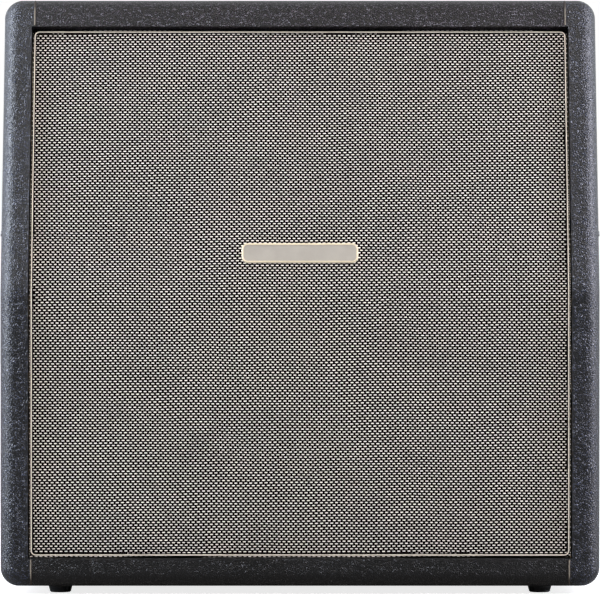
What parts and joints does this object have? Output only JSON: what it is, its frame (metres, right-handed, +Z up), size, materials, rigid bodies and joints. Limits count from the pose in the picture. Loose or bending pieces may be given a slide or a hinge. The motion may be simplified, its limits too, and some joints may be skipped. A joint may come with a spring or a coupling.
{
  "type": "guitar speaker cabinet",
  "caption": "Slant-front guitar speaker cabinet: vinyl-covered plywood box with woven grille cloth, cream piping, recessed side handles, rear jack and sprung driver cones inside.",
  "frame": {"origin": "floor level under the middle of the box, midway between its front and rear", "axes": "+Z up, -Y out of the front (the grille), +X to the right of someone facing the grille"},
  "size_m": [0.7812, 0.3663, 0.7685],
  "materials": {
    "plywood": "sanded birch plywood",
    "softwood": "planed softwood",
    "covering_vinyl": "grained blue-black vinyl leathercloth, satin",
    "grille_weave": "woven cloth, black with off-white dashes",
    "piping_cream": "cream vinyl piping",
    "badge_white": "plain moulded plate",
    "handle_plastic": "fine textured black",
    "foot_rubber": "black rubber",
    "screw_black": "blackened",
    "plate_black": "black powder coat",
    "jack_plastic": "black moulding",
    "nut_nickel": "nickel plate",
    "lead_pvc": "black insulation",
    "terminal_brass": "tinned brass tags on board",
    "gasket_board": "black fibre board",
    "iron_plated": "passivated zinc plate",
    "ferrite": "ground ferrite",
    "basket_paint": "grey paint on pressed steel",
    "cone_paper": "black pulp",
    "surround_doped": "doped paper rolls",
    "spider_cloth": "resin-set cotton",
    "coil_copper": "copper winding on a former"
  },
  "bodies": {
    "cabinet": {"badge_plate": "badge_white", "baffle_battens": "softwood", "basket_lower_left": "basket_paint", "basket_lower_right": "basket_paint", "basket_upper_left": "basket_paint", "basket_upper_right": "basket_paint", "bottom_covering": "covering_vinyl", "bottom_panel": "plywood", "centre_brace": "softwood", "driver_gaskets": "gasket_board", "driver_leads": "lead_pvc", "driver_screws": "screw_black", "driver_terminals": "terminal_brass", "foot_screws": "screw_black", "front_edge_strips": "softwood", "grille_cloth": "grille_weave", "grille_piping": "piping_cream", "handle_and_jack_screws": "screw_black", "jack_nut": "nut_nickel", "jack_plate": "plate_black", "jack_socket": "jack_plastic", "left_handle": "handle_plastic", "left_side_covering": "covering_vinyl", "left_side_panel": "plywood", "lower_baffle": "plywood", "magnet_rings": "ferrite", "magnet_top_plates": "iron_plated", "magnet_yokes": "iron_plated", "rear_battens": "softwood", "rear_panel": "plywood", "rear_panel_covering": "covering_vinyl", "rear_panel_screws": "screw_black", "right_handle": "handle_plastic", "right_side_covering": "covering_vinyl", "right_side_panel": "plywood", "rubber_feet": "foot_rubber", "seam_piping": "piping_cream", "spider_lower_left": "spider_cloth", "spider_lower_right": "spider_cloth", "spider_upper_left": "spider_cloth", "spider_upper_right": "spider_cloth", "surround_lower_left": "surround_doped", "surround_lower_right": "surround_doped", "surround_upper_left": "surround_doped", "surround_upper_right": "surround_doped", "top_covering": "covering_vinyl", "top_panel": "plywood", "upper_baffle": "plywood"},
    "moving_cone_lower_left": {"cone_lower_left": "cone_paper", "dust_cap_lower_left": "cone_paper", "voice_coil_lower_left": "coil_copper"},
    "moving_cone_lower_right": {"cone_lower_right": "cone_paper", "dust_cap_lower_right": "cone_paper", "voice_coil_lower_right": "coil_copper"},
    "moving_cone_upper_left": {"cone_upper_left": "cone_paper", "dust_cap_upper_left": "cone_paper", "voice_coil_upper_left": "coil_copper"},
    "moving_cone_upper_right": {"cone_upper_right": "cone_paper", "dust_cap_upper_right": "cone_paper", "voice_coil_upper_right": "coil_copper"}
  },
  "joints": [
    {"name": "cone_travel_lower_left", "type": "slide", "parent": "cabinet", "child": "moving_cone_lower_left", "axis": [0, -1, 0], "range_m": [-0.0025, 0.0025], "stiffness_N_per_m": 9000, "deforming": ["surround_lower_left", "spider_lower_left"]},
    {"name": "cone_travel_lower_right", "type": "slide", "parent": "cabinet", "child": "moving_cone_lower_right", "axis": [0, -1, 0], "range_m": [-0.0025, 0.0025], "stiffness_N_per_m": 9000, "deforming": ["surround_lower_right", "spider_lower_right"]},
    {"name": "cone_travel_upper_left", "type": "slide", "parent": "cabinet", "child": "moving_cone_upper_left", "axis": [0, -0.968, 0.251], "range_m": [-0.0025, 0.0025], "stiffness_N_per_m": 9000, "deforming": ["surround_upper_left", "spider_upper_left"]},
    {"name": "cone_travel_upper_right", "type": "slide", "parent": "cabinet", "child": "moving_cone_upper_right", "axis": [0, -0.968, 0.251], "range_m": [-0.0025, 0.0025], "stiffness_N_per_m": 9000, "deforming": ["surround_upper_right", "spider_upper_right"]}
  ]
}
